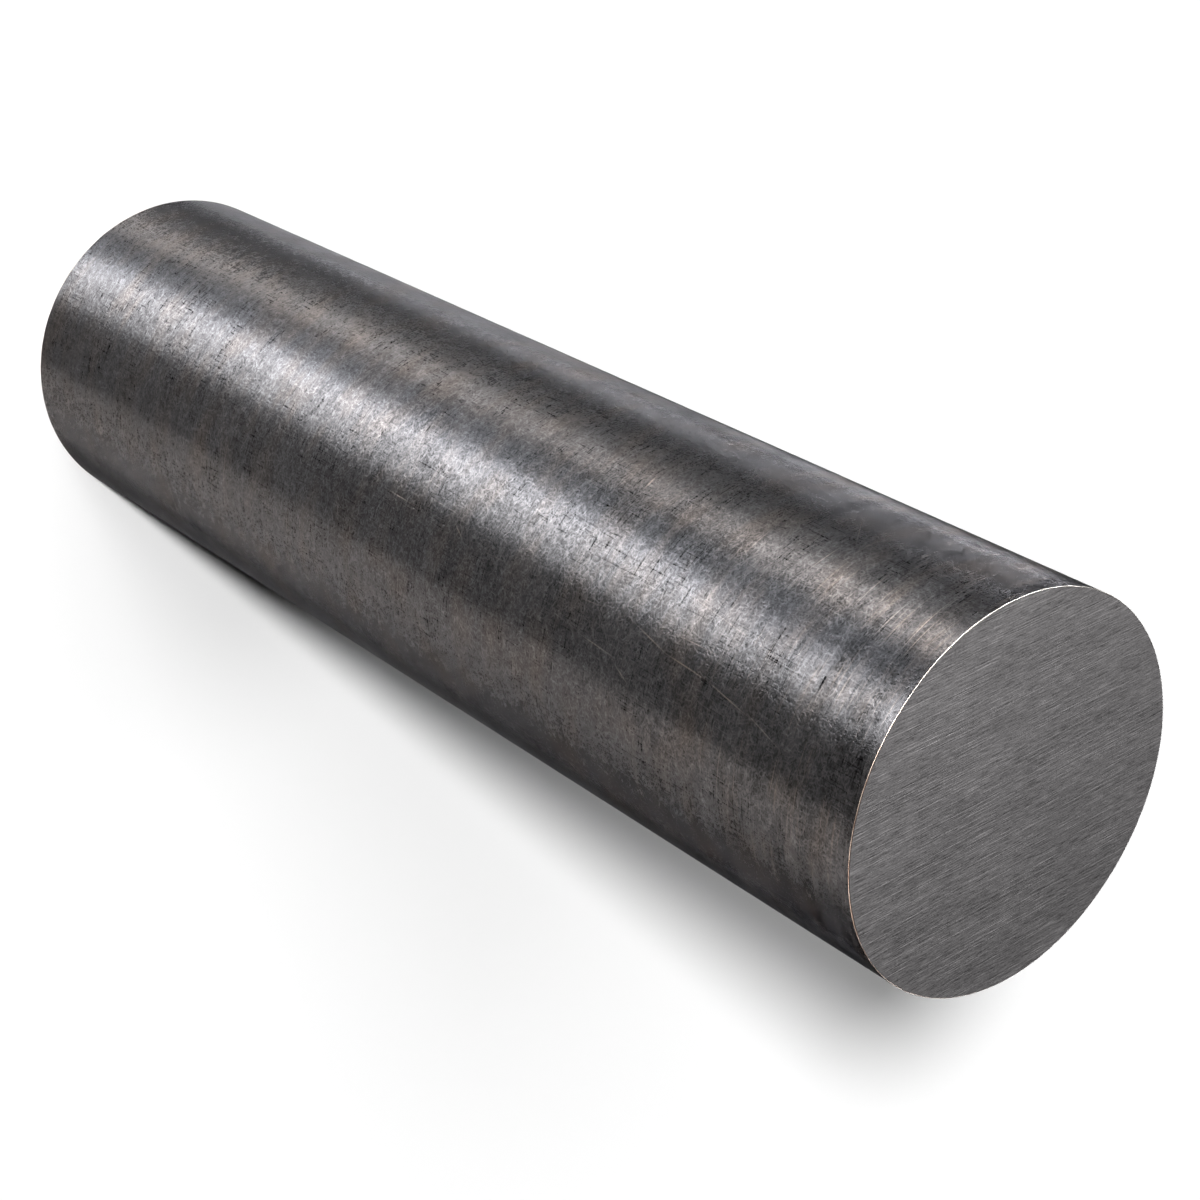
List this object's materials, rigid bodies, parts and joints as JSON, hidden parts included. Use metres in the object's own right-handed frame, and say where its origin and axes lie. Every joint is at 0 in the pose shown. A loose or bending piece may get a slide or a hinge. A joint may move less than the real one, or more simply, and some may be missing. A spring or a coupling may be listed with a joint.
{
  "type": "round metal bar",
  "caption": "Short cut length of solid round steel bar with a dark rolled surface; both ends sawn square and lightly deburred, and it stands on one of them.",
  "frame": {"origin": "centre of the lower sawn end, on the floor that the bar stands on", "axes": "+Z along the bar's axis, from the lower sawn end to the upper one; X and Y are any two square directions across the round section"},
  "size_m": [0.08, 0.08, 0.3],
  "materials": {
    "rolled_steel": "dark hot-rolled surface rubbed half bright with faint brown patches; ends sawn and linished bright grey"
  },
  "bodies": {
    "root": {"round_bar": "rolled_steel"}
  },
  "joints": []
}
